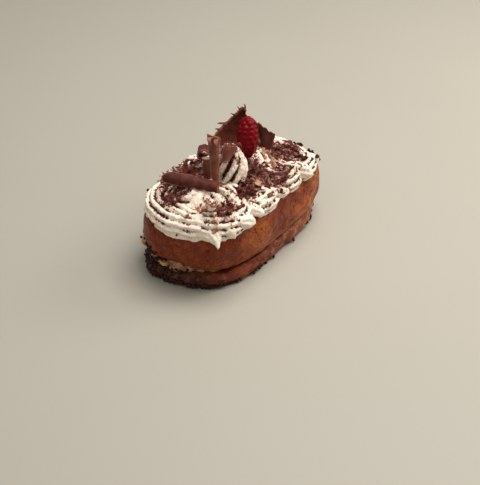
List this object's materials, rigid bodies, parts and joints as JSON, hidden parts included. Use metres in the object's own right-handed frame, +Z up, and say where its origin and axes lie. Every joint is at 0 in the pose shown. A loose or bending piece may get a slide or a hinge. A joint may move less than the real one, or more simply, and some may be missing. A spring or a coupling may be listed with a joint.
{
  "type": "oblong cream-topped filled doughnut",
  "caption": "Oblong split doughnut with a custard filling, topped with loops of piped whipped cream, a berry and dark chocolate curls.",
  "frame": {"origin": "centre of the pastry's footprint, on the surface that it rests on", "axes": "+X along the pastry, from the front end with its cream tail to the back end, +Y to its left side, +Z up"},
  "size_m": [0.1335, 0.077, 0.0896],
  "materials": {
    "crust": "browned glossy crust of fried dough",
    "under_crust": "darker, thin and wrinkled crust of fried dough",
    "custard": "soft custard cream",
    "cream": "whipped cream, satin",
    "berry": "ripe raspberry skin",
    "chocolate": "dark chocolate, satin"
  },
  "bodies": {
    "root": {"base_dough": "under_crust", "custard_filling": "custard", "top_dough": "crust", "cream_front": "cream", "cream_second": "cream", "cream_third": "cream", "cream_back": "cream", "cream_peak": "cream", "raspberry": "berry", "curl_lying": "chocolate", "curl_small": "chocolate", "curl_standing": "chocolate", "curl_shaded": "chocolate", "curl_on_peak": "chocolate", "sheet_left": "chocolate", "sheet_right": "chocolate"}
  },
  "joints": []
}
